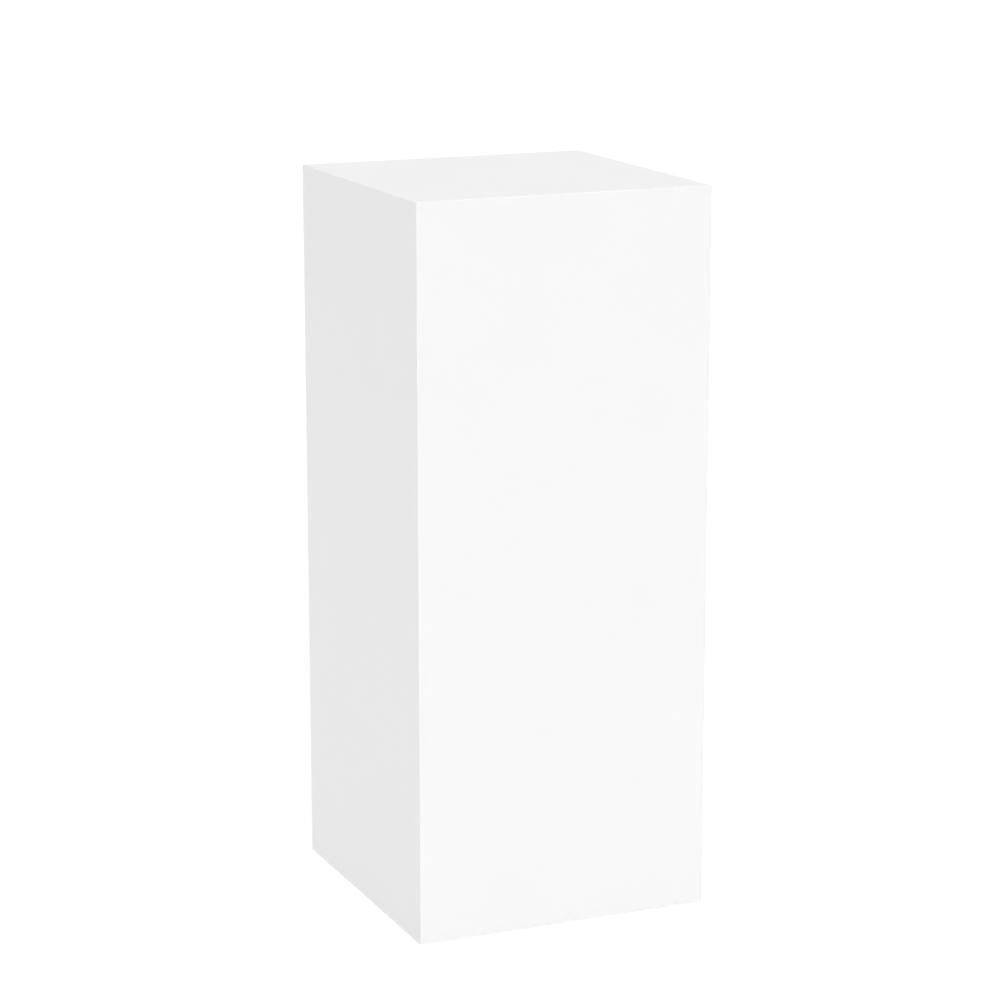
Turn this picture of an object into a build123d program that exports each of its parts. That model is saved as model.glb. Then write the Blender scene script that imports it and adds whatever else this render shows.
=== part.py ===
"""Museum display plinth: a mitred MDF box on four hidden levelling feet.

Millimetres. Origin on the floor at the middle of the footprint, +Z up, the front faces -Y.
The footprint is square, so each side is the front turned about +Z, and the sides are
numbered anticlockwise from above: 0 front, 1 right, 2 back, 3 left.
Corner n stands between side n and side n + 1.
"""

from build123d import *

import os

# Driving dimensions
width = 400.0
height = 950.0
board = 18.0  # MDF sheet of the shell, plywood of the base
arris = 1.0  # radius that the glued outer edges are eased to
batten = 34.0  # planed softwood
base_recess = 41.0  # floor to the underside of the base board
base_slack = 0.5  # all round the base board, so that it slides in from below
batten_round = 2.0  # planed edge that faces the inside

# Flat beech biscuits and the slots that a 100 mm cutter leaves for them
biscuit_length = 53.0
biscuit_width = 19.0
biscuit_thick = 4.0
biscuit_tip = 5.0
cutter_radius = 50.0
slot_depth = 10.5
slot_thick = 4.1
slot_from_inside = 7.0  # along the mitre, from the inner corner to the slot's middle
corner_biscuit_heights = (110.0, 350.0, 590.0, 830.0)
top_biscuit_places = (-95.0, 95.0)

# Countersunk wood screws, all of one size
screw_length = 45.0
screw_radius = 2.0
screw_head_radius = 4.0
screw_point = 6.0
hole_clearance = 0.05
corner_screw_heights = (150.0, 480.0, 810.0)
corner_screw_stagger = 50.0  # the screws of a corner's second side pass above the first's
batten_screw_places = (-110.0, 110.0)
board_screw_places = (-60.0, 60.0)

# Levelling feet: an M10 x 1.5 stud in a pronged T-nut, on a ball-jointed pad
foot_inset = 75.0  # from each outer face to the stud's axis
stud_radius = 5.0
stud_length = 45.0
running_clearance = 0.05
nut_flange_radius = 12.5
nut_flange_thick = 1.5
nut_barrel_radius = 6.0
nut_barrel_length = 12.0
prong_circle = 9.6
prong_size = (1.4, 4.0, 7.0)  # radial, across, long
prong_count = 4
prong_notch = 4.0  # reaches past the flange's edge, where the prong was bent up from
hexagon_flats = 14.0
hexagon_thick = 6.0
stud_chamfer = 0.8  # on the upper end of the thread
ball_radius = 5.5
ball_height = 10.0
neck_radius = 3.5
neck_reach = 6.0  # from the ball's middle up to the hexagon
pad_radius = 21.0
pad_top_radius = 9.5
pad_top = 13.0
pad_rim = (1.5, 4.0)  # lowest and highest point of the pad's upright rim
pad_dish = 0.4  # how far the pad's slope is dished below a straight cone
collar_radius = 7.4  # split collar that lets the ball snap in
collar_relief = 1.0  # groove round the collar, so that it can spread
collar_slit = 1.2
collar_depth = 4.0
sole_radius = 19.0
sole_thick = 3.0
sole_chamfer = 0.6
tread_count = 6  # straight grooves across the underside
tread_gap = 5.0
tread_width = 1.4
tread_depth = 0.8

# Derived
inside = width - 2 * board
half_inside = inside / 2
under_top = height - board
base_top = base_recess + board
base_batten_top = base_top + batten
top_batten_bottom = under_top - batten
batten_line = half_inside - batten / 2  # axis of every batten, from the middle
hexagon_bottom = ball_height + neck_reach
hexagon_top = hexagon_bottom + hexagon_thick
nut_bottom = base_recess - nut_flange_thick
foot_place = width / 2 - foot_inset

side_names = ("front", "right", "back", "left")
corner_names = ("front_right", "back_right", "back_left", "front_left")
corner_signs = ((1, -1), (1, 1), (-1, 1), (-1, -1))

os.makedirs("parts", exist_ok=True)


def save(piece, name):
    """Labels a finished piece and writes it to its own file."""
    piece.part.label = name
    export_step(piece.part, f"parts/{name}.step")


def turned(number, *vector):
    """A vector of the front, turned to side or corner number."""
    return Vector(*vector).rotate(Axis.Z, 90 * number)


def corner_mitre(corner):
    """Upright mitre plane of a corner. Its positive side holds side number corner."""
    return Plane(origin=(0, 0, 0), x_dir=(0, 0, 1), z_dir=turned(corner, -1, -1, 0))


def top_mitre(side):
    """Sloping mitre plane between a side and the top. Its positive side holds the side."""
    return Plane(
        origin=turned(side, 0, -width / 2, height),
        x_dir=turned(side, 1, 0, 0),
        z_dir=turned(side, 0, -1, -1),
    )


# How far the middle of a slot lies outside the inner corner, along each of the two boards
slot_offset = slot_from_inside / 2**0.5


def corner_slots(corner):
    """Middle planes of a corner's biscuits: X up the corner, +Y into side number corner."""
    across = half_inside + slot_offset
    return [
        Plane(
            origin=turned(corner, across, -across, level),
            x_dir=(0, 0, 1),
            z_dir=turned(corner, 1, -1, 0),
        )
        for level in corner_biscuit_heights
    ]


def top_slots(side):
    """Middle planes of a top edge's biscuits: X along the edge, +Y into the top panel."""
    return [
        Plane(
            origin=turned(side, place, -half_inside - slot_offset, under_top + slot_offset),
            x_dir=turned(side, 1, 0, 0),
            z_dir=turned(side, 0, -1, 1),
        )
        for place in top_biscuit_places
    ]


# Each screw's place is the middle of its head, flush with the wood, with Z out of the hole


def corner_screws(corner):
    """Screws of a corner batten: into side number corner, and above them into the next."""
    line = turned(corner, batten_line, -batten_line, 0)
    into_first = turned(corner, 0, -1, 0)
    into_second = turned(corner, 1, 0, 0)
    places = []
    for level in corner_screw_heights:
        head = line + Vector(0, 0, level) - into_first * (batten / 2)
        places.append(Plane(origin=head, z_dir=-into_first).location)
        head = line + Vector(0, 0, level + corner_screw_stagger) - into_second * (batten / 2)
        places.append(Plane(origin=head, z_dir=-into_second).location)
    return places


def rail_screws(side, level):
    """Level screws through a rail, the batten along one side, into that side."""
    inward = turned(side, 0, 1, 0)
    face = batten_line - batten / 2
    return [
        Plane(origin=turned(side, place, -face, level), z_dir=inward).location
        for place in batten_screw_places
    ]


def upright_screws(side, level):
    """Screws driven up from a level, on the line of one side's battens."""
    return [
        Plane(origin=turned(side, place, -batten_line, level), z_dir=(0, 0, -1)).location
        for place in board_screw_places
    ]


def cut_screw_holes(places):
    """Countersunk holes, at each place, in the piece that is being built."""
    with Locations(*places):
        CounterSinkHole(
            radius=screw_radius + hole_clearance,
            counter_sink_radius=screw_head_radius + hole_clearance,
            depth=screw_length + 2 * hole_clearance,
            counter_sink_angle=90,
        )


base_rail_level = base_top + batten / 2
top_rail_level = under_top - batten / 2


# Shell: the five boards as one glued and sanded box, which the mitre planes then part
with BuildPart() as shell:
    with BuildSketch(Plane.XY):
        Rectangle(width, width)
    extrude(amount=height)
    outer_arrises = shell.edges().filter_by(Axis.Z) + shell.edges().group_by(Axis.Z)[-1]
    fillet(outer_arrises, radius=arris)
    with BuildSketch(Plane.XY):
        Rectangle(inside, inside)
    extrude(amount=under_top, mode=Mode.SUBTRACT)

for side, name in enumerate(side_names):
    corner_before = (side - 1) % 4
    with BuildPart() as panel:
        add(shell.part)
        split(bisect_by=corner_mitre(side), keep=Keep.TOP)
        split(bisect_by=corner_mitre(corner_before), keep=Keep.BOTTOM)
        split(bisect_by=top_mitre(side), keep=Keep.TOP)
        # The cutter's middle lies outside the board, so each slot is a shallow crescent
        with BuildSketch(*corner_slots(side)):
            with Locations((0, slot_depth - cutter_radius)):
                Circle(cutter_radius)
        with BuildSketch(*corner_slots(corner_before), *top_slots(side)):
            with Locations((0, cutter_radius - slot_depth)):
                Circle(cutter_radius)
        extrude(amount=slot_thick / 2, both=True, mode=Mode.SUBTRACT)
        cut_screw_holes(
            corner_screws(side)
            + corner_screws(corner_before)
            + rail_screws(side, base_rail_level)
            + rail_screws(side, top_rail_level)
        )
    save(panel, f"{name}_panel")

with BuildPart() as top_panel:
    add(shell.part)
    for side in range(4):
        split(bisect_by=top_mitre(side), keep=Keep.BOTTOM)
    for side in range(4):
        with BuildSketch(*top_slots(side)):
            with Locations((0, slot_depth - cutter_radius)):
                Circle(cutter_radius)
    extrude(amount=slot_thick / 2, both=True, mode=Mode.SUBTRACT)
    for side in range(4):
        cut_screw_holes(upright_screws(side, top_batten_bottom))
save(top_panel, "top_panel")


# Biscuits: flat ovals with blunt tips, one group for each mitred joint
half_length = biscuit_length / 2
half_width = biscuit_width / 2
half_tip = biscuit_tip / 2


def biscuits(planes):
    """One biscuit on each plane, its length along X and its width across the mitre."""
    with BuildPart() as group:
        with BuildSketch(*planes):
            with BuildLine():
                ThreePointArc((-half_length, half_tip), (0, half_width), (half_length, half_tip))
                Line((half_length, half_tip), (half_length, -half_tip))
                ThreePointArc((half_length, -half_tip), (0, -half_width), (-half_length, -half_tip))
                Line((-half_length, -half_tip), (-half_length, half_tip))
            make_face()
        extrude(amount=biscuit_thick / 2, both=True)
    return group


for number in range(4):
    save(biscuits(corner_slots(number)), f"corner_biscuits_{corner_names[number]}")
    save(biscuits(top_slots(number)), f"top_biscuits_{side_names[number]}")


# Corner battens: upright, glued and screwed into both sides of their corner
for corner, name in enumerate(corner_names):
    sign_x, sign_y = corner_signs[corner]
    with BuildPart() as corner_batten:
        with BuildSketch(Plane.XY.offset(base_batten_top)):
            with Locations((sign_x * batten_line, sign_y * batten_line)):
                Rectangle(batten, batten)
        extrude(amount=top_batten_bottom - base_batten_top)
        uprights = corner_batten.edges().filter_by(Axis.Z)
        innermost = uprights.sort_by(Axis((0, 0, 0), (sign_x, sign_y, 0)))[0]
        fillet(innermost, radius=batten_round)
        cut_screw_holes(corner_screws(corner))
    save(corner_batten, f"corner_batten_{name}")


# Rails: level battens round the bottom and the top. Front and back run from side to side,
# and the other two fit between them
def rail(side, bottom, inner_edge_at_top, screw_places):
    """A batten along one side, standing on the level bottom."""
    length = inside if side % 2 == 0 else inside - 2 * batten
    with BuildPart() as piece:
        with BuildSketch(
            Plane(origin=turned(side, 0, -batten_line, bottom), x_dir=turned(side, 1, 0, 0))
        ):
            Rectangle(length, batten)
        extrude(amount=batten)
        level_edges = piece.edges().filter_by(Axis((0, 0, 0), turned(side, 1, 0, 0)))
        edge_pair = level_edges.group_by(Axis.Z)[-1 if inner_edge_at_top else 0]
        fillet(edge_pair.sort_by(Axis((0, 0, 0), turned(side, 0, 1, 0)))[-1], radius=batten_round)
        cut_screw_holes(screw_places)
    return piece


for side, name in enumerate(side_names):
    base_places = rail_screws(side, base_rail_level) + upright_screws(side, base_recess)
    save(rail(side, base_top, True, base_places), f"base_rail_{name}")
    top_places = rail_screws(side, top_rail_level) + upright_screws(side, top_batten_bottom)
    save(rail(side, top_batten_bottom, False, top_places), f"top_rail_{name}")


# Base board: plywood, screwed up into the base rails, with a T-nut above each foot
foot_places = [(sign_x * foot_place, sign_y * foot_place) for sign_x, sign_y in corner_signs]
prong_radial, prong_across, prong_long = prong_size
notch_circle = prong_circle + prong_radial / 2 + prong_notch / 2
with BuildPart() as base_board:
    with BuildSketch(Plane.XY.offset(base_recess)):
        Rectangle(inside - 2 * base_slack, inside - 2 * base_slack)
        with Locations(*foot_places):
            Circle(nut_barrel_radius + hole_clearance, mode=Mode.SUBTRACT)
    extrude(amount=board)
    with BuildSketch(Plane.XY.offset(base_recess)):
        with Locations(*foot_places):
            with PolarLocations(prong_circle, prong_count):
                Rectangle(prong_radial + 2 * hole_clearance, prong_across + 2 * hole_clearance)
    extrude(amount=prong_long + hole_clearance, mode=Mode.SUBTRACT)
    for side in range(4):
        cut_screw_holes(upright_screws(side, base_recess))
save(base_board, "base_board")


# Screws: one shape, gathered into the group that fastens each kind of batten
with BuildPart() as wood_screw:
    with BuildSketch(Plane.XZ):
        with BuildLine():
            Polyline(
                (0, 0),
                (screw_head_radius, 0),
                (screw_radius, screw_radius - screw_head_radius),
                (screw_radius, screw_point - screw_length),
                (0, -screw_length),
                close=True,
            )
        make_face()
    revolve(axis=Axis.Z)


def screw_group(places):
    """A wood screw at each place."""
    with BuildPart() as group:
        with Locations(*places):
            add(wood_screw.part)
    return group


screw_sets = {
    "corner_batten_screws": [corner_screws(n) for n in range(4)],
    "base_rail_screws": [rail_screws(n, base_rail_level) for n in range(4)],
    "top_rail_side_screws": [rail_screws(n, top_rail_level) for n in range(4)],
    "top_rail_upright_screws": [upright_screws(n, top_batten_bottom) for n in range(4)],
    "base_board_screws": [upright_screws(n, base_recess) for n in range(4)],
}
for name, place_lists in screw_sets.items():
    save(screw_group(sum(place_lists, [])), name)


# Levelling feet. Each stud turns in its T-nut and its ball carries the pad, which slides
# up and down with it but doesn't turn on the floor
def t_nut(x, y):
    """Flange under the board, barrel up into it, and prongs that stop it turning."""
    with BuildPart() as nut:
        with BuildSketch(Plane.XY.offset(nut_bottom)):
            with Locations((x, y)):
                Circle(nut_flange_radius)
                with PolarLocations(notch_circle, prong_count):
                    Rectangle(prong_notch, prong_across, mode=Mode.SUBTRACT)
        extrude(amount=nut_flange_thick)
        with BuildSketch(Plane.XY.offset(base_recess)):
            with Locations((x, y)):
                Circle(nut_barrel_radius)
        extrude(amount=nut_barrel_length)
        with BuildSketch(Plane.XY.offset(base_recess)):
            with Locations((x, y)):
                with PolarLocations(prong_circle, prong_count):
                    Rectangle(prong_radial, prong_across)
        extrude(amount=prong_long)
        with Locations((x, y, nut_bottom)):
            Hole(radius=stud_radius + running_clearance)
    return nut


def stud(x, y):
    """Ball, neck, hexagon for a spanner and the threaded length, as its outer cylinder."""
    with BuildPart() as piece:
        with Locations((x, y, ball_height)):
            Sphere(ball_radius)
        with BuildSketch(Plane.XY.offset(ball_height)):
            with Locations((x, y)):
                Circle(neck_radius)
        extrude(amount=hexagon_bottom - ball_height)
        with BuildSketch(Plane.XY.offset(hexagon_bottom)):
            with Locations((x, y)):
                RegularPolygon(radius=hexagon_flats / 2, side_count=6, major_radius=False)
        extrude(amount=hexagon_thick)
        with BuildSketch(Plane.XY.offset(hexagon_top)):
            with Locations((x, y)):
                Circle(stud_radius)
        extrude(amount=stud_length)
        chamfer(piece.edges().group_by(Axis.Z)[-1], length=stud_chamfer)
    return piece


def pad(x, y):
    """Turned nylon pad: a snap-in socket above and a shallow seat for the sole below."""
    rim_bottom, rim_top = pad_rim
    axis = Axis((x, y, 0), (0, 0, 1))
    with BuildPart() as piece:
        with BuildSketch(Plane(origin=(x, y, 0), x_dir=(1, 0, 0), z_dir=(0, -1, 0))):
            with BuildLine():
                Polyline(
                    (0, sole_thick),
                    (sole_radius, sole_thick),
                    (sole_radius, rim_bottom),
                    (pad_radius, rim_bottom),
                    (pad_radius, rim_top),
                )
                SagittaArc((pad_radius, rim_top), (pad_top_radius, pad_top), pad_dish)
                Polyline((pad_top_radius, pad_top), (0, pad_top), (0, sole_thick))
            make_face()
        revolve(axis=axis)
        with Locations((x, y, ball_height)):
            Sphere(ball_radius + running_clearance, mode=Mode.SUBTRACT)
        with BuildSketch(Plane.XY.offset(pad_top)):
            with Locations((x, y)):
                Circle(collar_radius + collar_relief)
                Circle(collar_radius, mode=Mode.SUBTRACT)
                Rectangle(2 * collar_radius + collar_relief, collar_slit)
                Rectangle(collar_slit, 2 * collar_radius + collar_relief)
        extrude(amount=-collar_depth, mode=Mode.SUBTRACT)
    return piece


def sole(x, y):
    """Rubber disc with a grooved tread that meets the floor, glued in the pad's seat."""
    with BuildPart() as piece:
        with BuildSketch(Plane.XY):
            with Locations((x, y)):
                Circle(sole_radius - running_clearance)
        extrude(amount=sole_thick)
        chamfer(piece.edges().group_by(Axis.Z)[0], length=sole_chamfer)
        with BuildSketch(Plane.XY):
            with Locations((x, y)):
                with GridLocations(0, tread_gap, 1, tread_count):
                    Rectangle(2 * sole_radius, tread_width)
        extrude(amount=tread_depth, mode=Mode.SUBTRACT)
    return piece


for name, (x, y) in zip(corner_names, foot_places):
    save(t_nut(x, y), f"t_nut_{name}")
    save(stud(x, y), f"foot_stud_{name}")
    save(pad(x, y), f"foot_pad_{name}")
    save(sole(x, y), f"foot_sole_{name}")
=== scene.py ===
"""A white museum display plinth on its four hidden levelling feet, in a plain white studio.

Metres, in the part's own frame: origin on the floor at the middle of the footprint, +Z up,
the front faces -Y. The boards, biscuits, timber, T-nuts, pads and soles are the CAD nodes with
procedural materials.
The studs and the wood screws are built here, with their threads and drives.
"""

import math

import bmesh
import bpy
from mathutils import Matrix, Vector


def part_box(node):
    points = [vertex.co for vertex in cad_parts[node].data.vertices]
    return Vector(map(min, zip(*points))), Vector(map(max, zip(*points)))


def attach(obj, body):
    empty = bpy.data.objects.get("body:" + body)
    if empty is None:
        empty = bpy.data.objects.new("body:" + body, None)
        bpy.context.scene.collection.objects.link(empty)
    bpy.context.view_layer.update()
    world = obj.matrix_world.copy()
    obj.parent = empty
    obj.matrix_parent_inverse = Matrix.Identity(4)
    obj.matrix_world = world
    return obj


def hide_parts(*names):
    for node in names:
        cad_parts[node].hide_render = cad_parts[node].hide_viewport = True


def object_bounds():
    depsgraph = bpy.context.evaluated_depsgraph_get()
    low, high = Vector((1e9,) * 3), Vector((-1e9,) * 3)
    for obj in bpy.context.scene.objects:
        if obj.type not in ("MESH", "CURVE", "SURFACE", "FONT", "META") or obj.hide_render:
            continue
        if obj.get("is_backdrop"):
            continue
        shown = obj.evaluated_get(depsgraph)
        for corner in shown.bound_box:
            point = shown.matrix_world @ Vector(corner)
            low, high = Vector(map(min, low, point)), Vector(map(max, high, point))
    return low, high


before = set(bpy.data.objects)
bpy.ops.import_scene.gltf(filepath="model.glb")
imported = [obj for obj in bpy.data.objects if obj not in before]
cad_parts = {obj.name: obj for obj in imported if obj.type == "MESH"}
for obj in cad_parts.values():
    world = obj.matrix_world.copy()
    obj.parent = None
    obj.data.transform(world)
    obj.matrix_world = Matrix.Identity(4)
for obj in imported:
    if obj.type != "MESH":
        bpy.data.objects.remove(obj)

MM = 0.001
SAME_POINT = 1e-7
SAME_CAD_POINT = 1e-6
WAVE_SCALE = math.tau / 20  # the wave texture's scale for one wave a metre
cad_low, cad_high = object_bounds()
HEIGHT = cad_high.z
HALF_WIDTH = cad_high.x
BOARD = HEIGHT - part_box("top_rail_front")[1].z
CORNERS = ("front_right", "back_right", "back_left", "front_left")
SIDES = ("front", "right", "back", "left")


# ---------------------------------------------------------------- materials


def tint(red, green, blue):
    """A colour given as 8-bit sRGB, as the shader wants it."""
    linear = [
        c / 255 / 12.92 if c <= 10.31 else ((c / 255 + 0.055) / 1.055) ** 2.4
        for c in (red, green, blue)
    ]
    return (*linear, 1.0)


class Recipe:
    """A material's nodes, added one at a time. Each method gives back the new node's output."""

    def __init__(self, name):
        self.material = bpy.data.materials.new(name)
        self.material.use_nodes = True
        self.tree = self.material.node_tree
        self.tree.nodes.clear()
        self.place = self.node("ShaderNodeTexCoord").outputs["Object"]

    def node(self, kind, inputs=None, **settings):
        made = self.tree.nodes.new(kind)
        for name, value in settings.items():
            setattr(made, name, value)
        for key, value in (inputs or {}).items():
            if isinstance(value, bpy.types.NodeSocket):
                self.tree.links.new(value, made.inputs[key])
            else:
                made.inputs[key].default_value = value
        return made

    def calc(self, operation, a, b=0.0):
        return self.node("ShaderNodeMath", {0: a, 1: b}, operation=operation).outputs[0]

    def axes(self):
        """X, Y and Z of the place."""
        return self.node("ShaderNodeSeparateXYZ", {"Vector": self.place}).outputs

    def stretched(self, scale, turn=(0, 0, 0), shift=(0, 0, 0)):
        """The place, turned, moved and scaled."""
        inputs = {"Vector": self.place, "Location": shift, "Rotation": turn, "Scale": scale}
        return self.node("ShaderNodeMapping", inputs).outputs[0]

    def noise(self, scale, detail=2.0, rough=0.5, where=None, distortion=0.0):
        inputs = {
            "Vector": where or self.place,
            "Scale": scale,
            "Detail": detail,
            "Roughness": rough,
            "Distortion": distortion,
        }
        return self.node("ShaderNodeTexNoise", inputs).outputs[0]

    def ramp(self, value, low, high, to_low=0.0, to_high=1.0):
        """value from low..high to to_low..to_high, with soft ends and held outside."""
        inputs = {"Value": value, 1: low, 2: high, 3: to_low, 4: to_high}
        settings = {"interpolation_type": "SMOOTHSTEP", "clamp": True}
        return self.node("ShaderNodeMapRange", inputs, **settings).outputs[0]

    def mix(self, share, a, b):
        """Colour a at share 0, and b at 1."""
        made = self.node("ShaderNodeMix", {0: share, 6: a, 7: b}, data_type="RGBA")
        return made.outputs[2]

    def between(self, share, a, b):
        """Number a at share 0, and b at 1."""
        return self.node("ShaderNodeMix", {0: share, 2: a, 3: b}, data_type="FLOAT").outputs[0]

    def bump(self, height, depth, under=None):
        """A normal for a height of 0..1 that is depth metres tall."""
        inputs = {"Height": height, "Distance": depth, "Strength": 1.0}
        if under:
            inputs["Normal"] = under
        return self.node("ShaderNodeBump", inputs).outputs[0]

    def done(self, colour, roughness, normal, **constants):
        """Finishes with one Principled shader and gives the material."""
        shader = self.node(
            "ShaderNodeBsdfPrincipled",
            {"Base Color": colour, "Roughness": roughness, "Normal": normal},
        )
        for name, value in constants.items():
            shader.inputs[name.replace("_", " ")].default_value = value
        self.node("ShaderNodeOutputMaterial", {"Surface": shader.outputs[0]})
        return self.material


def lacquered_board():
    """Sprayed satin white outside, on the rim and a little way up inside; raw MDF elsewhere."""
    r = Recipe("white_lacquer_on_mdf")
    skin = 1.3 * MM  # a little more than the eased arrises' radius
    rim_high = 0.3 * MM
    spray_solid, spray_gone = 34 * MM, 46 * MM  # heights that the overspray fades out between
    scuffs_end = 22 * MM  # height that shoes and brooms reach
    x, y, z = r.axes()
    beside_x, beside_y = r.calc("ABSOLUTE", x), r.calc("ABSOLUTE", y)
    farthest = r.calc("MAXIMUM", beside_x, beside_y)
    from_top = r.calc("ADD", z, HALF_WIDTH - HEIGHT)
    outside = r.calc("GREATER_THAN", r.calc("MAXIMUM", farthest, from_top), HALF_WIDTH - skin)
    rim = r.calc("LESS_THAN", z, rim_high)
    drift = r.calc("MULTIPLY", r.noise(14, 2), 24 * MM)
    droplets = r.calc("MULTIPLY", r.noise(1100, 2, 0.6), 30 * MM)
    reach = r.calc("ADD", z, r.calc("ADD", drift, droplets))
    overspray = r.ramp(reach, spray_gone, spray_solid)
    paint = r.calc("MAXIMUM", r.calc("MAXIMUM", outside, rim), overspray)

    # How near a point is to an eased arris: upright where both |x| and |y| are far out
    upright = r.calc("MINIMUM", beside_x, beside_y)
    level = r.calc("MINIMUM", farthest, from_top)
    nearest = r.calc("MAXIMUM", upright, level)
    arris = r.ramp(nearest, HALF_WIDTH - 3.5 * MM, HALF_WIDTH - 1.0 * MM)
    handled = r.calc("MULTIPLY", arris, r.ramp(r.noise(24, 3), 0.42, 0.62))

    # Spray: orange peel some 3 mm across, over a faint mottle in tone and gloss
    mottle = r.noise(9, 4, 0.55)
    peel = r.noise(310, 1.5, 0.45)
    nibs = r.ramp(r.noise(1500, 0), 0.74, 0.80)
    scuffs = r.calc(
        "MULTIPLY",
        r.ramp(z, scuffs_end, 1 * MM),
        r.ramp(r.noise(60, 5, 0.7, r.stretched((1, 1, 5))), 0.56, 0.70),
    )
    white = r.mix(mottle, tint(236, 236, 236), tint(238, 238, 238))
    white = r.mix(r.calc("MULTIPLY", handled, 0.5), white, tint(233, 233, 232))
    white = r.mix(r.calc("MULTIPLY", scuffs, 0.35), white, tint(214, 212, 208))
    gloss = r.between(mottle, 0.46, 0.52)
    gloss = r.between(r.calc("MULTIPLY", handled, 0.6), gloss, 0.30)
    gloss = r.between(r.calc("MULTIPLY", scuffs, 0.7), gloss, 0.62)

    # Raw board: fine felted fibre with paler specks, and a looser, paler core between the faces
    felt = r.noise(900, 5, 0.65)
    fibre = r.noise(420, 4, 0.7, r.stretched((1, 1, 0.6)), 0.3)
    cloud = r.noise(26, 3, 0.5)
    depth = r.calc("SUBTRACT", HALF_WIDTH, r.calc("MAXIMUM", farthest, from_top))
    off_middle = r.calc("ABSOLUTE", r.calc("SUBTRACT", depth, BOARD / 2))
    core = r.ramp(off_middle, 0.42 * BOARD, 0.22 * BOARD)
    raw = r.mix(r.ramp(fibre, 0.3, 0.7), tint(178, 145, 106), tint(167, 132, 94))
    raw = r.mix(r.ramp(cloud, 0.35, 0.65), raw, tint(171, 138, 101))
    raw = r.mix(r.calc("MULTIPLY", core, 0.6), raw, tint(198, 168, 128))
    raw = r.mix(r.ramp(felt, 0.62, 0.74), raw, tint(203, 175, 138))

    colour = r.mix(paint, raw, white)
    roughness = r.between(paint, r.ramp(felt, 0.3, 0.7, 0.72, 0.86), gloss)
    surface = r.bump(r.calc("MULTIPLY", felt, r.calc("SUBTRACT", 1.0, paint)), 0.12 * MM)
    surface = r.bump(r.calc("MULTIPLY", peel, paint), 0.010 * MM, surface)
    surface = r.bump(r.calc("MULTIPLY", nibs, paint), 0.012 * MM, surface)
    return r.done(colour, roughness, surface)


def timber(name, grain, ring_gap, early, late, ray):
    """Sawn timber whose grain runs along an axis, with its rings showing on the end grain."""
    r = Recipe(name)
    slow = [0.04 if axis == grain else 1.0 for axis in "XYZ"]
    slower = [0.015 if axis == grain else 1.0 for axis in "XYZ"]
    pith_off = (0.11, 0.08, 0.21)  # the rings' middle lies outside every batten
    wander = r.noise(16, 3, 0.5, r.stretched(slow))
    pith = r.node(
        "ShaderNodeVectorMath",
        {0: r.stretched((1, 1, 1), shift=pith_off), 1: wander},
        operation="ADD",
    ).outputs[0]
    rings = r.node(
        "ShaderNodeTexWave",
        {
            "Vector": pith,
            "Scale": WAVE_SCALE / ring_gap,
            "Distortion": 1.2,
            "Detail": 2.0,
            "Detail Scale": 0.6,
        },
        wave_type="RINGS",
        rings_direction=grain,
        wave_profile="SAW",
    ).outputs["Fac"]
    fibre = r.noise(900, 4, 0.6, r.stretched(slower))
    flecks = r.ramp(r.noise(1400, 1, 0.5, r.stretched(slow)), 0.68, 0.76)
    colour = r.mix(r.ramp(rings, 0.45, 0.98), early, late)
    colour = r.mix(r.calc("MULTIPLY", r.ramp(fibre, 0.35, 0.7), 0.35), colour, late)
    colour = r.mix(r.calc("MULTIPLY", flecks, 0.5), colour, ray)
    roughness = r.ramp(fibre, 0.3, 0.7, 0.55, 0.72)
    surface = r.bump(fibre, 0.05 * MM)
    surface = r.bump(rings, 0.03 * MM, surface)
    return r.done(colour, roughness, surface)


def plywood():
    """Birch plywood: a rotary-cut veneer on the faces and thirteen plies on the edges."""
    r = Recipe("birch_plywood")
    low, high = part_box("base_board")
    plies = 13
    glue_line = 0.10  # of a ply
    normal = r.node("ShaderNodeNewGeometry").outputs["Normal"]
    up = r.calc("ABSOLUTE", r.node("ShaderNodeSeparateXYZ", {"Vector": normal}).outputs["Z"])
    face = r.calc("GREATER_THAN", up, 0.5)
    figure = r.noise(11, 3, 0.5, r.stretched((0.22, 1, 1)), 0.9)
    contour = r.calc("FRACT", r.calc("MULTIPLY", figure, 9.0))
    fibre = r.noise(800, 4, 0.6, r.stretched((0.02, 1, 1)))
    veneer = r.mix(r.ramp(contour, 0.1, 0.95), tint(222, 198, 160), tint(213, 186, 146))
    veneer = r.mix(r.calc("MULTIPLY", r.ramp(fibre, 0.4, 0.7), 0.4), veneer, tint(194, 162, 120))
    above_bottom = r.calc("SUBTRACT", r.axes()["Z"], low.z)
    ply = r.calc("MULTIPLY", above_bottom, plies / (high.z - low.z))
    odd = r.calc("LESS_THAN", r.calc("MODULO", ply, 2.0), 1.0)
    glue = r.calc("LESS_THAN", r.calc("FRACT", ply), glue_line)
    edge = r.mix(odd, tint(176, 138, 96), tint(214, 186, 146))
    edge = r.mix(glue, edge, tint(108, 76, 52))
    edge = r.mix(r.calc("MULTIPLY", r.noise(500, 3), 0.4), edge, tint(160, 122, 84))
    colour = r.mix(face, edge, veneer)
    roughness = r.ramp(fibre, 0.3, 0.7, 0.48, 0.64)
    surface = r.bump(fibre, 0.04 * MM)
    return r.done(colour, roughness, surface)


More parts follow.
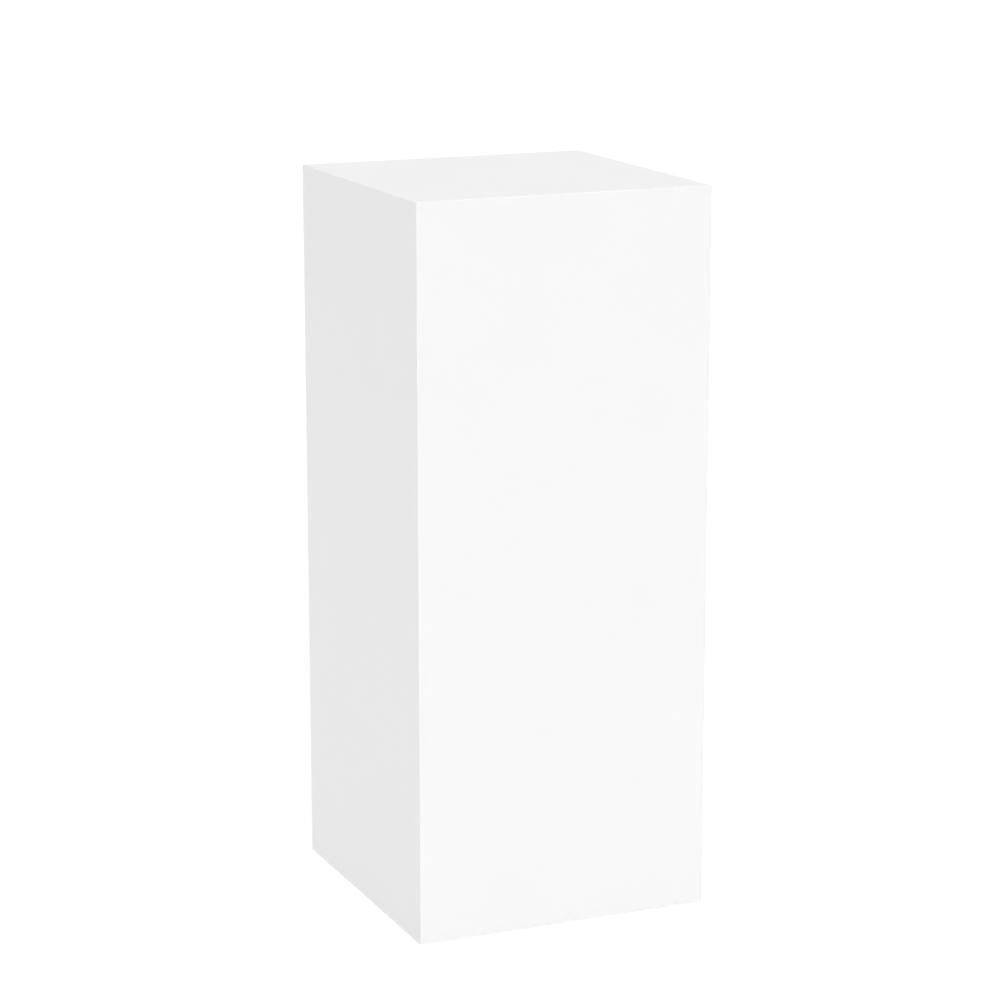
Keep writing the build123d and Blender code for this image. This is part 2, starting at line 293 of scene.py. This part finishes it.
def pressed_beech():
    """Beech biscuits: short rays across a fine grain, with the press's diagonal embossing."""
    r = Recipe("pressed_beech")
    emboss_gap = 1.6 * MM
    grain_turn = (0.6, 0.6, 0)
    fibre = r.noise(700, 4, 0.6, r.stretched((1, 1, 0.12), turn=grain_turn))
    dashes = r.noise(1100, 1, 0.4, r.stretched((1, 1, 0.25), turn=grain_turn))
    rays = r.ramp(dashes, 0.64, 0.72)
    emboss = r.node(
        "ShaderNodeTexWave",
        {"Vector": r.place, "Scale": WAVE_SCALE / emboss_gap, "Distortion": 0.0},
        wave_type="BANDS",
        bands_direction="DIAGONAL",
    ).outputs["Fac"]
    colour = r.mix(fibre, tint(206, 170, 132), tint(184, 144, 106))
    colour = r.mix(r.calc("MULTIPLY", rays, 0.6), colour, tint(150, 108, 76))
    surface = r.bump(emboss, 0.08 * MM)
    surface = r.bump(fibre, 0.03 * MM, surface)
    return r.done(colour, r.ramp(fibre, 0.3, 0.7, 0.58, 0.72), surface)


def plated_steel(name, bright, dull):
    """Zinc plate: a cloudy passivated tone, fine draw marks and a few dull spots."""
    r = Recipe(name)
    cloud = r.noise(160, 4, 0.6)
    spots = r.ramp(r.noise(900, 3), 0.58, 0.70)
    marks = r.noise(2600, 2, 0.5, r.stretched((1, 1, 0.2)))
    colour = r.mix(cloud, bright, dull)
    colour = r.mix(r.calc("MULTIPLY", spots, 0.35), colour, dull)
    roughness = r.between(r.calc("MULTIPLY", spots, 0.5), r.ramp(cloud, 0.3, 0.7, 0.24, 0.36), 0.55)
    return r.done(colour, roughness, r.bump(marks, 0.004 * MM), Metallic=1.0)


def moulded_nylon():
    """Black nylon with a spark-eroded grain and rubbed paler bloom."""
    r = Recipe("black_nylon")
    grain = r.noise(1800, 3, 0.6)
    bloom = r.ramp(r.noise(120, 4, 0.6), 0.45, 0.70)
    colour = r.mix(r.calc("MULTIPLY", bloom, 0.5), tint(27, 27, 28), tint(48, 48, 49))
    roughness = r.ramp(bloom, 0.0, 1.0, 0.42, 0.58)
    return r.done(colour, roughness, r.bump(grain, 0.03 * MM))


def sole_rubber():
    """Dark grey rubber, dusty where it has met the floor."""
    r = Recipe("grey_rubber")
    grain = r.noise(1300, 4, 0.65)
    z = r.axes()["Z"]
    dust = r.calc("MULTIPLY", r.ramp(r.noise(700, 5, 0.7), 0.50, 0.75), r.ramp(z, 0.7 * MM, 0.0))
    colour = r.mix(grain, tint(66, 66, 67), tint(80, 80, 80))
    colour = r.mix(r.calc("MULTIPLY", dust, 0.45), colour, tint(128, 125, 120))
    return r.done(colour, r.ramp(grain, 0.3, 0.7, 0.72, 0.88), r.bump(grain, 0.06 * MM))


lacquer = lacquered_board()
pine_tones = (tint(226, 192, 142), tint(194, 150, 96), tint(168, 120, 72))
pine = {axis: timber(f"pine_along_{axis}", axis, 3.4 * MM, *pine_tones) for axis in "XYZ"}
bright_zinc = plated_steel("bright_zinc", tint(206, 209, 213), tint(176, 180, 185))
yellow_zinc = plated_steel("yellow_zinc", tint(222, 196, 128), tint(186, 158, 96))


def paint(node, material):
    """Gives a CAD node its material."""
    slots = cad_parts[node].data.materials
    slots.clear()
    slots.append(material)


for side in SIDES:
    paint(f"{side}_panel", lacquer)
    rail_grain = "X" if side in ("front", "back") else "Y"
    paint(f"base_rail_{side}", pine[rail_grain])
    paint(f"top_rail_{side}", pine[rail_grain])
paint("top_panel", lacquer)
paint("base_board", plywood())

beech = pressed_beech()
nylon = moulded_nylon()
rubber = sole_rubber()
for side, corner in zip(SIDES, CORNERS):
    paint(f"top_biscuits_{side}", beech)
    paint(f"corner_biscuits_{corner}", beech)
    paint(f"corner_batten_{corner}", pine["Z"])
    paint(f"t_nut_{corner}", bright_zinc)
    paint(f"foot_pad_{corner}", nylon)
    paint(f"foot_sole_{corner}", rubber)


# ------------------------------------------------------------- turned metal


class Tube:
    """A round skin built ring by ring along +Z, and closed into one solid at the end."""

    def __init__(self, around):
        self.around = around
        self.mesh = bmesh.new()
        self.last = None
        self.first = None

    def join(self, near, far):
        """Quads between two rings."""
        for i in range(self.around):
            j = (i + 1) % self.around
            self.mesh.faces.new((near[i], near[j], far[j], far[i]))

    def ring(self, points):
        """Adds a ring of (x, y, z) points and joins it to the last one."""
        made = [self.mesh.verts.new(p) for p in points]
        if self.last:
            self.join(self.last, made)
        self.first = self.first or made
        self.last = made

    def circle(self, radius, z):
        self.ring([self.at(i, radius, z) for i in range(self.around)])

    def at(self, i, radius, z):
        angle = math.tau * i / self.around
        return radius * math.cos(angle), radius * math.sin(angle), z

    def thread(self, start, end, pitch, profile, shape):
        """A helical skin from z start to z end. profile lists (share of the pitch, radius) of
        each line along the helix, and shape(radius, z) trims it where it starts and ends."""
        down = -1 if end < start else 1
        length = abs(end - start)
        lines = len(profile)
        rows = lines * (math.ceil(length / pitch) + 1)
        grid = []
        for row in range(rows + 1):
            share, radius = profile[row % lines]
            verts = []
            for i in range(self.around):
                travel = pitch * (row // lines + share + i / self.around - 1)
                z = start + down * min(max(travel, 0.0), length)
                verts.append(self.mesh.verts.new(self.at(i, shape(radius, z), z)))
            grid.append(verts)
        self.join(self.last, grid[0])
        for row in range(rows):
            for i in range(self.around):
                if i + 1 < self.around:
                    far = (grid[row][i + 1], grid[row + 1][i + 1])
                else:
                    far = tuple(grid[min(row + lines + k, rows)][0] for k in (0, 1))
                corners = (grid[row][i], far[0], far[1], grid[row + 1][i])
                if len(set(corners)) == 4:
                    self.mesh.faces.new(corners)
        self.last = grid[rows]

    def close(self):
        """Caps both ends and gives the clean mesh."""
        self.mesh.faces.new(self.first)
        self.mesh.faces.new(self.last)
        bmesh.ops.remove_doubles(self.mesh, verts=self.mesh.verts, dist=SAME_POINT)
        bmesh.ops.dissolve_degenerate(self.mesh, edges=self.mesh.edges, dist=SAME_POINT)
        bmesh.ops.recalc_face_normals(self.mesh, faces=self.mesh.faces)
        return self.mesh


def piece(name, mesh, body, material, replaced, sharp=32):
    """Makes an object from a bmesh that stands for one CAD node and rides on its body."""
    data = bpy.data.meshes.new(name)
    mesh.to_mesh(data)
    mesh.free()
    data.materials.append(material)
    made = bpy.data.objects.new(name, data)
    bpy.context.scene.collection.objects.link(made)
    for polygon in data.polygons:
        polygon.use_smooth = True
    data.set_sharp_from_angle(angle=math.radians(sharp))
    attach(made, body)
    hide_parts(replaced)


def middle(node):
    """X and Y of a round node's axis."""
    low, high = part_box(node)
    return (low.x + high.x) / 2, (low.y + high.y) / 2


# Metric coarse thread, as shares of the pitch and radii
PITCH = 1.5 * MM
MAJOR = 5.0 * MM
MINOR = 4.08 * MM
STUD_PROFILE = ((0.0, MINOR), (0.25, MINOR), (0.5625, MAJOR), (0.6875, MAJOR))

BALL = 5.5 * MM
BALL_RINGS = 15
BALL_POLE = 0.06  # the angle at the ball's lowest ring
NECK = 3.5 * MM
NECK_REACH = 6 * MM  # from the ball's middle up to the hexagon
FLARE_WIDE, FLARE_HIGH = 0.4 * MM, 0.3 * MM  # the neck's widening under the hexagon
HEX_FLATS = 14 * MM
HEX_THICK = 6 * MM
HEX_ROUND = 0.475 * HEX_FLATS  # radius of the flat face that its chamfer leaves
HEX_SLOPE = math.tan(math.radians(30))
THREAD_END = 3.9 * MM  # radius that the thread runs out to at both ends
THREAD_RISE = 0.8  # radius gained per length on from the hexagon


def stud_mesh(low, high):
    """Ball, neck, chamfered hexagon and M10 thread, in one skin from z low to z high."""
    centre = low + BALL
    hex_low = centre + NECK_REACH
    hex_high = hex_low + HEX_THICK
    tube = Tube(36)
    meets_neck = math.pi - math.asin(NECK / BALL)
    for step in range(BALL_RINGS):
        swing = BALL_POLE + (meets_neck - BALL_POLE) * step / (BALL_RINGS - 1)
        tube.circle(BALL * math.sin(swing), centre - BALL * math.cos(swing))
    tube.circle(NECK, hex_low - FLARE_HIGH)
    tube.circle(NECK + FLARE_WIDE, hex_low)

    reaches = []
    for i in range(tube.around):
        off_flat = (math.tau * i / tube.around) % (math.pi / 3) - math.pi / 6
        reaches.append(HEX_FLATS / 2 / math.cos(off_flat))
    tube.circle(HEX_ROUND, hex_low)
    for end, way in ((hex_low, 1), (hex_high, -1)):
        tube.ring([
            tube.at(i, reach, end + way * (reach - HEX_ROUND) * HEX_SLOPE)
            for i, reach in enumerate(reaches)
        ])
    tube.circle(HEX_ROUND, hex_high)

    def ends(radius, z):
        """The thread grows out of the hexagon and runs out at its chamfered top."""
        return min(radius, THREAD_END + (z - hex_high) * THREAD_RISE, THREAD_END + (high - z))

    tube.circle(THREAD_END, hex_high)
    tube.thread(hex_high, high, PITCH, STUD_PROFILE, ends)
    return tube.close()


for corner in CORNERS:
    node = f"foot_stud_{corner}"
    low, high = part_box(node)
    mesh = stud_mesh(low.z, high.z)
    x, y = middle(node)
    bmesh.ops.translate(mesh, verts=mesh.verts, vec=(x, y, 0))
    body = f"{corner}_stud"
    piece(f"threaded_stud_{corner}", mesh, body, bright_zinc, node, sharp=25)


# ------------------------------------------------------------------- screws

SCREW_LENGTH = 45 * MM
SCREW_HEAD = 4 * MM
SCREW_CORE = 1.3 * MM
SCREW_CREST = 2.0 * MM
SCREW_PITCH = 1.8 * MM
SCREW_POINT = 6 * MM
SCREW_AROUND = 24
SCREW_PROFILE = ((0.0, SCREW_CORE), (0.6, SCREW_CORE), (0.8, SCREW_CREST))
THREAD_START = -5 * MM
CREST_RISE = 0.35  # radius gained per length in from either end of the thread
POINT_BLUNT = 0.05  # what is left of the radius at the very point
# Cross drive, from its floor up to the head's face: reach, half width, valley and z
DRIVE = (
    (0.90 * MM, 0.18 * MM, 0.30 * MM, -1.90 * MM),
    (2.20 * MM, 0.36 * MM, 0.75 * MM, -0.12 * MM),
    (2.35 * MM, 0.46 * MM, 0.85 * MM, 0.0),
)
# Countersunk head, from its face down to the shank: radius and z
HEAD = (
    (SCREW_HEAD - 0.15 * MM, 0.0),
    (SCREW_HEAD, -0.15 * MM),
    (SCREW_HEAD - 0.05 * MM, -0.35 * MM),
    (SCREW_CORE + 0.10 * MM, -2.7 * MM),
    (SCREW_CORE + 0.10 * MM, -4.6 * MM),
)


def cross(reach, half_wide, valley, z):
    """Points round a cross-shaped drive, six in each quarter, as many as SCREW_AROUND."""
    slot, root = (reach, half_wide), (valley * 1.35, valley * 0.7)
    flank = tuple((a + b) / 2 for a, b in zip(slot, root))
    quarter = [slot, flank, root] + [(py, px) for px, py in (root, flank, slot)]
    points = []
    for turn in range(4):
        spin = Matrix.Rotation(math.pi / 2 * turn, 3, "Z")
        points += [spin @ Vector((px, py, z)) for px, py in quarter]
    return points


def screw_mesh():
    """A countersunk wood screw with its head's flat at the origin and its point down -Z."""
    tube = Tube(SCREW_AROUND)
    for ring in DRIVE:
        tube.ring(cross(*ring))
    for radius, z in HEAD:
        # Half a step on, so that the head's points line up with the drive's
        tube.ring([tube.at(i + 0.5, radius, z) for i in range(tube.around)])
    tube.circle(SCREW_CORE, THREAD_START)

    def ends(radius, z):
        """The thread rises out of the core at its start and out of the point at its end."""
        to_start, to_tip = THREAD_START - z, z + SCREW_LENGTH
        risen = SCREW_CORE + min(to_start, to_tip) * CREST_RISE
        taper = min(1.0, POINT_BLUNT + to_tip / SCREW_POINT)
        return min(radius, risen) * taper

    tube.thread(THREAD_START, -SCREW_LENGTH, SCREW_PITCH, SCREW_PROFILE, ends)
    return tube.close()


def islands(node):
    """The separate solids of a CAD node, each as a list of its points."""
    mesh = bmesh.new()
    mesh.from_mesh(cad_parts[node].data)
    bmesh.ops.remove_doubles(mesh, verts=mesh.verts, dist=SAME_CAD_POINT)
    unseen = set(mesh.verts)
    found = []
    while unseen:
        queue = [min(unseen, key=lambda v: v.index)]
        unseen.discard(queue[0])
        points = []
        while queue:
            vert = queue.pop()
            points.append(vert.co.copy())
            for edge in vert.link_edges:
                other = edge.other_vert(vert)
                if other in unseen:
                    unseen.discard(other)
                    queue.append(other)
        found.append(points)
    mesh.free()
    return found


def screw_place(points):
    """Where a screw's head is, and the way its point faces, from its solid's own points."""
    low = Vector([min(p[k] for p in points) for k in range(3)])
    high = Vector([max(p[k] for p in points) for k in range(3)])
    centre = (low + high) / 2
    axis = max(range(3), key=lambda k: (high - low)[k])
    way = Vector((0, 0, 0))
    way[axis] = 1.0

    def off_axis(point):
        return (point - centre).cross(way).length

    if max(points, key=off_axis)[axis] > centre[axis]:
        way.negate()
    return centre - way * (high - low)[axis] / 2, way


pattern = bpy.data.meshes.new("wood_screw_pattern")
one_screw = screw_mesh()
one_screw.to_mesh(pattern)
one_screw.free()
screw_nodes = sorted(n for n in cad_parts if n.endswith("_screws"))
golden_turn = math.tau * 0.381966  # so that no two drives line up
for node in screw_nodes:
    group = bmesh.new()
    for number, points in enumerate(islands(node)):
        head, way = screw_place(points)
        place = Matrix.Translation(head) @ way.to_track_quat("-Z", "Y").to_matrix().to_4x4()
        place = place @ Matrix.Rotation(golden_turn * number, 4, "Z")
        held = len(group.verts)
        group.from_mesh(pattern)
        group.verts.ensure_lookup_table()
        bmesh.ops.transform(group, matrix=place, verts=group.verts[held:])
    piece(f"driven_{node}", group, "carcass", yellow_zinc, node)


# ------------------------------------------------------------------- studio

# The view: how far round from the front and how high, then, in plinth heights, how far off and
# how far the aim lies right of and above the middle
CAMERA_AZIMUTH = math.radians(-23.47)
CAMERA_ELEVATION = math.radians(13.13)
CAMERA_DISTANCE = 4.414
AIM_RIGHT = -0.0029
AIM_UP = 0.0466
LENS_MM = 114.4


def make_camera():
    data = bpy.data.cameras.new("camera")
    data.lens = LENS_MM
    data.sensor_width = 36.0
    data.clip_end = 100.0
    camera = bpy.data.objects.new("camera", data)
    bpy.context.scene.collection.objects.link(camera)
    flat = math.cos(CAMERA_ELEVATION)
    back = Vector((
        math.sin(CAMERA_AZIMUTH) * flat,
        -math.cos(CAMERA_AZIMUTH) * flat,
        math.sin(CAMERA_ELEVATION),
    ))
    turn = (-back).to_track_quat("-Z", "Y")
    aim = (cad_low + cad_high) / 2
    aim += turn @ Vector((AIM_RIGHT * HEIGHT, AIM_UP * HEIGHT, 0))
    camera.location = aim + back * CAMERA_DISTANCE * HEIGHT
    camera.rotation_mode = "QUATERNION"
    camera.rotation_quaternion = turn
    bpy.context.scene.camera = camera


FLOOR_REACH = 60.0
FLOOR_TONE = 0.35
FLOOR_GLOW = 0.675


def make_floor():
    """A white light-table floor that runs out of sight."""
    data = bpy.data.meshes.new("floor")
    rim = [(x * FLOOR_REACH, y * FLOOR_REACH, 0) for x, y in ((-1, -1), (1, -1), (1, 1), (-1, 1))]
    data.from_pydata(rim, [], [(0, 1, 2, 3)])
    floor = bpy.data.objects.new("floor", data)
    bpy.context.scene.collection.objects.link(floor)
    material = bpy.data.materials.new("studio_floor")
    material.use_nodes = True
    shader = material.node_tree.nodes["Principled BSDF"]
    shader.inputs["Base Color"].default_value = (FLOOR_TONE, FLOOR_TONE, FLOOR_TONE, 1)
    shader.inputs["Roughness"].default_value = 0.9
    shader.inputs["Specular IOR Level"].default_value = 0.0
    shader.inputs["Emission Color"].default_value = (1, 1, 1, 1)
    shader.inputs["Emission Strength"].default_value = FLOOR_GLOW
    data.materials.append(material)
    floor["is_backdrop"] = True


# The surroundings' strength as light, and as seen low down and from a few degrees up
SKY_LIGHT = 0.30
SWEEP_LOW = 1.05
SWEEP_HIGH = 0.72
SWEEP_STARTS = math.sin(math.radians(0.2))
SWEEP_ENDS = math.sin(math.radians(7))


def make_sky():
    """Even soft light from all round, seen as a white sweep that turns pale grey higher up."""
    world = bpy.data.worlds.new("studio")
    bpy.context.scene.world = world
    world.use_nodes = True
    tree = world.node_tree
    tree.nodes.clear()
    links = tree.links
    light = tree.nodes.new("ShaderNodeBackground")
    light.inputs["Color"].default_value = (1, 1, 1, 1)
    light.inputs["Strength"].default_value = SKY_LIGHT
    way = tree.nodes.new("ShaderNodeTexCoord")
    climb = tree.nodes.new("ShaderNodeSeparateXYZ")
    links.new(way.outputs["Generated"], climb.inputs[0])
    fade = tree.nodes.new("ShaderNodeMapRange")
    fade.interpolation_type = "SMOOTHSTEP"
    for socket, value in zip(
        fade.inputs[1:5], (SWEEP_STARTS, SWEEP_ENDS, SWEEP_LOW, SWEEP_HIGH)
    ):
        socket.default_value = value
    links.new(climb.outputs["Z"], fade.inputs["Value"])
    seen = tree.nodes.new("ShaderNodeBackground")
    seen.inputs["Color"].default_value = (1, 1, 1, 1)
    links.new(fade.outputs[0], seen.inputs["Strength"])
    path = tree.nodes.new("ShaderNodeLightPath")
    pick = tree.nodes.new("ShaderNodeMixShader")
    out = tree.nodes.new("ShaderNodeOutputWorld")
    links.new(path.outputs["Is Camera Ray"], pick.inputs[0])
    links.new(light.outputs[0], pick.inputs[1])
    links.new(seen.outputs[0], pick.inputs[2])
    links.new(pick.outputs[0], out.inputs["Surface"])


# Direction from the plinth, strength and spread in degrees of each broad lamp
LAMPS = {
    "key": ((-0.36, -0.85, 0.50), 1.365, 60),
    "overhead": ((0.0, 0.05, 1.0), 2.09, 70),
}


def make_lamp(name, towards, strength, spread):
    """A very broad, even lamp in the given direction from the plinth."""
    data = bpy.data.lights.new(name, "SUN")
    data.energy = strength
    data.angle = math.radians(spread)
    lamp = bpy.data.objects.new(name, data)
    bpy.context.scene.collection.objects.link(lamp)
    lamp.rotation_mode = "QUATERNION"
    lamp.rotation_quaternion = Vector(towards).to_track_quat("Z", "Y")


make_camera()
make_floor()
make_sky()
for lamp_name, settings in LAMPS.items():
    make_lamp(lamp_name, *settings)
view = bpy.context.scene.view_settings
view.view_transform = "Standard"
view.look = "None"
view.exposure = 0.0
view.gamma = 1.0

low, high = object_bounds()
